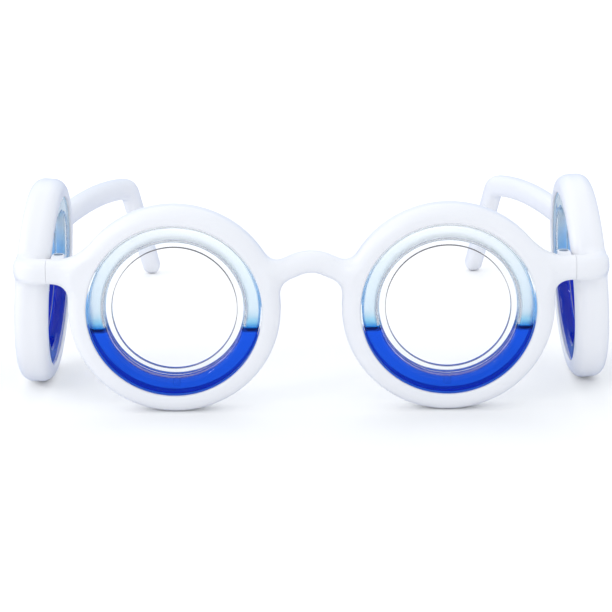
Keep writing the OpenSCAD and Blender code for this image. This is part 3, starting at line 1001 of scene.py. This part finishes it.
WHITE = white_plastic()
TUBE_WALLS = [clear_plastic(), filmed_wall(), wetted_wall(), flange_edge_painted_shade(), seated_wall()]
BLUE = blue_liquid()
STEEL = screw_steel()
PLUG = plug_plastic()

# A surface has up to three parts, and on most pieces each takes the piece's only material
ONE_FINISH = [0, 0, 0]
mesh_piece("front_moulding", [(s, ONE_FINISH) for s in front_moulding()], [WHITE],
           "front", ["front_frame"])
left_temple = temple_moulding()
mesh_piece("left_temple_moulding", [(s, ONE_FINISH) for s in left_temple], [WHITE],
           "left_temple", ["left_temple"])
mesh_piece("right_temple_moulding", [(flipped(s), ONE_FINISH) for s in left_temple], [WHITE],
           "right_temple", ["right_temple"])

RINGS = [
    ("left_eye", LEFT_EYE, "front", ("tube_front", "tube_back")),
    ("right_eye", RIGHT_EYE, "front", ("tube_front", "tube_back")),
    ("left_side", LEFT_SIDE, "left_temple", ("tube_inner", "tube_outer")),
    ("right_side", RIGHT_SIDE, "right_temple", ("tube_inner", "tube_outer")),
]
for name, ring, body, halves in RINGS:
    mesh_piece(f"{name}_clear_tube", tube_surfaces(ring), TUBE_WALLS, body,
               [f"{name}_{half}" for half in halves])
    mesh_piece(f"{name}_blue_liquid", [(liquid_surface(ring), ONE_FINISH)], [BLUE], body,
               [f"{name}_liquid"])
    mesh_piece(f"{name}_filling_plug", [(plug_surface(ring), ONE_FINISH)], [PLUG], body,
               [f"{name}_plug"])

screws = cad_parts["hinge_screws"]
screws.data.materials.clear()
screws.data.materials.append(STEEL)


def mirrored_colour(nodes, links, plain, mirrored):
    """One colour for most rays, and another for those that a surface mirrors. A ray through glass
    counts as glossy too, so it is told apart by Is Transmission Ray."""
    path = nodes.new("ShaderNodeLightPath")
    test = nodes.new("ShaderNodeMath")
    test.operation = "GREATER_THAN"
    links.new(path.outputs["Is Glossy Ray"], test.inputs[0])
    links.new(path.outputs["Is Transmission Ray"], test.inputs[1])
    mix = nodes.new("ShaderNodeMix")
    mix.data_type = "RGBA"
    mix.inputs[6].default_value = (*plain, 1)
    mix.inputs[7].default_value = (*mirrored, 1)
    links.new(test.outputs[0], mix.inputs[0])
    return mix.outputs[2]


def add_floor():
    """A pale floor that the camera sees as white paper, darker only where the object shades it: it
    glows for the camera and through glass, hardly near the object and more farther out. Where a
    surface mirrors it, it is a painted dark blue, a painted reflection."""
    mesh = bpy.data.meshes.new("floor")
    far = FLOOR_REACH
    corners = [(-far, -far, 0), (far, -far, 0), (far, far, 0), (-far, far, 0)]
    mesh.from_pydata(corners, [], [(0, 1, 2, 3)])
    floor = bpy.data.objects.new("floor", mesh)
    bpy.context.scene.collection.objects.link(floor)
    material, nodes, links, shader = new_material("white_paper")
    shader.inputs["Roughness"].default_value = 0.7
    shader.inputs["Specular IOR Level"].default_value = 0.2
    path = nodes.new("ShaderNodeLightPath")
    seen = nodes.new("ShaderNodeMath")
    seen.operation = "MAXIMUM"
    links.new(path.outputs["Is Camera Ray"], seen.inputs[0])
    links.new(path.outputs["Is Transmission Ray"], seen.inputs[1])
    # Painted reflection: surfaces that mirror the floor see it dark blue
    paper = mirrored_colour(nodes, links, (0.95, 0.95, 0.95), (0.12, 0.22, 0.50))
    links.new(paper, shader.inputs["Base Color"])
    place = nodes.new("ShaderNodeTexCoord")
    reach = nodes.new("ShaderNodeVectorMath")
    reach.operation = "LENGTH"
    links.new(place.outputs["Object"], reach.inputs[0])
    fade = nodes.new("ShaderNodeMapRange")
    fade.interpolation_type = "SMOOTHSTEP"
    for name, value in FLOOR_GLOW.items():
        fade.inputs[name].default_value = value
    links.new(reach.outputs["Value"], fade.inputs["Value"])
    glow = nodes.new("ShaderNodeMath")
    glow.operation = "MULTIPLY"
    links.new(fade.outputs["Result"], glow.inputs[1])
    links.new(seen.outputs[0], glow.inputs[0])
    shader.inputs["Emission Color"].default_value = (1, 1, 1, 1)
    links.new(glow.outputs[0], shader.inputs["Emission Strength"])
    floor.data.materials.append(material)


def add_world():
    """White for the camera and through glass, an even pale light on surfaces, and blue where they
    mirror it."""
    world = bpy.data.worlds.new("studio")
    bpy.context.scene.world = world
    world.use_nodes = True
    nodes, links = world.node_tree.nodes, world.node_tree.links
    sky = mirrored_colour(nodes, links, (0.96, 0.98, 1), (0.36, 0.54, 0.88))
    links.new(sky, nodes["Background"].inputs["Color"])


def add_softbox(name, place, target, size, watts):
    """A rectangular lamp at a place, turned to a target, both in metres."""
    light = bpy.data.lights.new(name, "AREA")
    light.shape = "RECTANGLE"
    light.size, light.size_y = size
    light.energy = watts
    box = bpy.data.objects.new(name, light)
    box.location = place
    box.rotation_euler = (Vector(target) - Vector(place)).to_track_quat("-Z", "Y").to_euler()
    bpy.context.scene.collection.objects.link(box)


def add_camera():
    """The photograph's view: turned by the roll, tilted down from the horizon, and panned."""
    place = np.array([CAMERA_X, FRONT_Y - CAMERA_AHEAD, CAMERA_Z]) * MM
    tilt, pan, roll = (math.radians(v) for v in (CAMERA_TILT, CAMERA_PAN, CAMERA_ROLL))
    data = bpy.data.cameras.new("camera")
    data.sensor_width = 36
    data.lens = data.sensor_width * FOCAL_PX / PHOTO_PX
    data.clip_start, data.clip_end = 0.01, 20
    camera = bpy.data.objects.new("camera", data)
    turn = (Matrix.Rotation(-pan, 4, "Z") @ Matrix.Rotation(math.pi / 2 - tilt, 4, "X")
            @ Matrix.Rotation(roll, 4, "Z"))
    camera.matrix_world = Matrix.Translation(place) @ turn
    bpy.context.scene.collection.objects.link(camera)
    bpy.context.scene.camera = camera


add_floor()
add_world()
add_softbox("overhead_softbox", (0.0, 0.0, 0.6), (0, 0, 0), (0.5, 0.4), 0.15)
add_softbox("back_softbox", (0.0, 0.5, 0.5), (0, 0.03, 0.02), (0.6, 0.4), 0.35)
add_softbox("side_softbox", (-0.6, 0.0, 0.25), (0, 0, 0.02), (0.35, 0.3), 0.75)
add_softbox("front_strip", (-0.9, -1.0, 0.9), (0, 0, 0.03), (0.35, 0.05), 1.6)
add_camera()
bpy.context.scene.view_settings.view_transform = "Standard"
